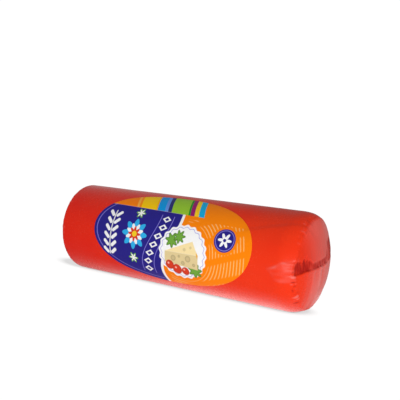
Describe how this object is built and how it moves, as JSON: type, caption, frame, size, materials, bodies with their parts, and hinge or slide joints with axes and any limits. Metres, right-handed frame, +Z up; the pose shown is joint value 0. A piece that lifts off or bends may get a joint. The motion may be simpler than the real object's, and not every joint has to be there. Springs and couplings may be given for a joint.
{
  "type": "salami cheese",
  "caption": "Log of salami-style cheese shut in tight red film, with rounded ends, a heat seal folded flat across each end, and a printed oval label on its front.",
  "frame": {"origin": "on the floor under the middle of the log, at the bottom centre of its box", "axes": "+X along the log towards its rounded near end, +Z up, the labelled front towards -Y"},
  "size_m": [0.2608, 0.0854, 0.0846],
  "materials": {
    "red_film": "tight glossy red film over cheese, faintly see-through",
    "printed_label": "printed film label, satin"
  },
  "bodies": {
    "root": {"wrapped_log": "red_film", "oval_label": "printed_label"}
  },
  "joints": []
}
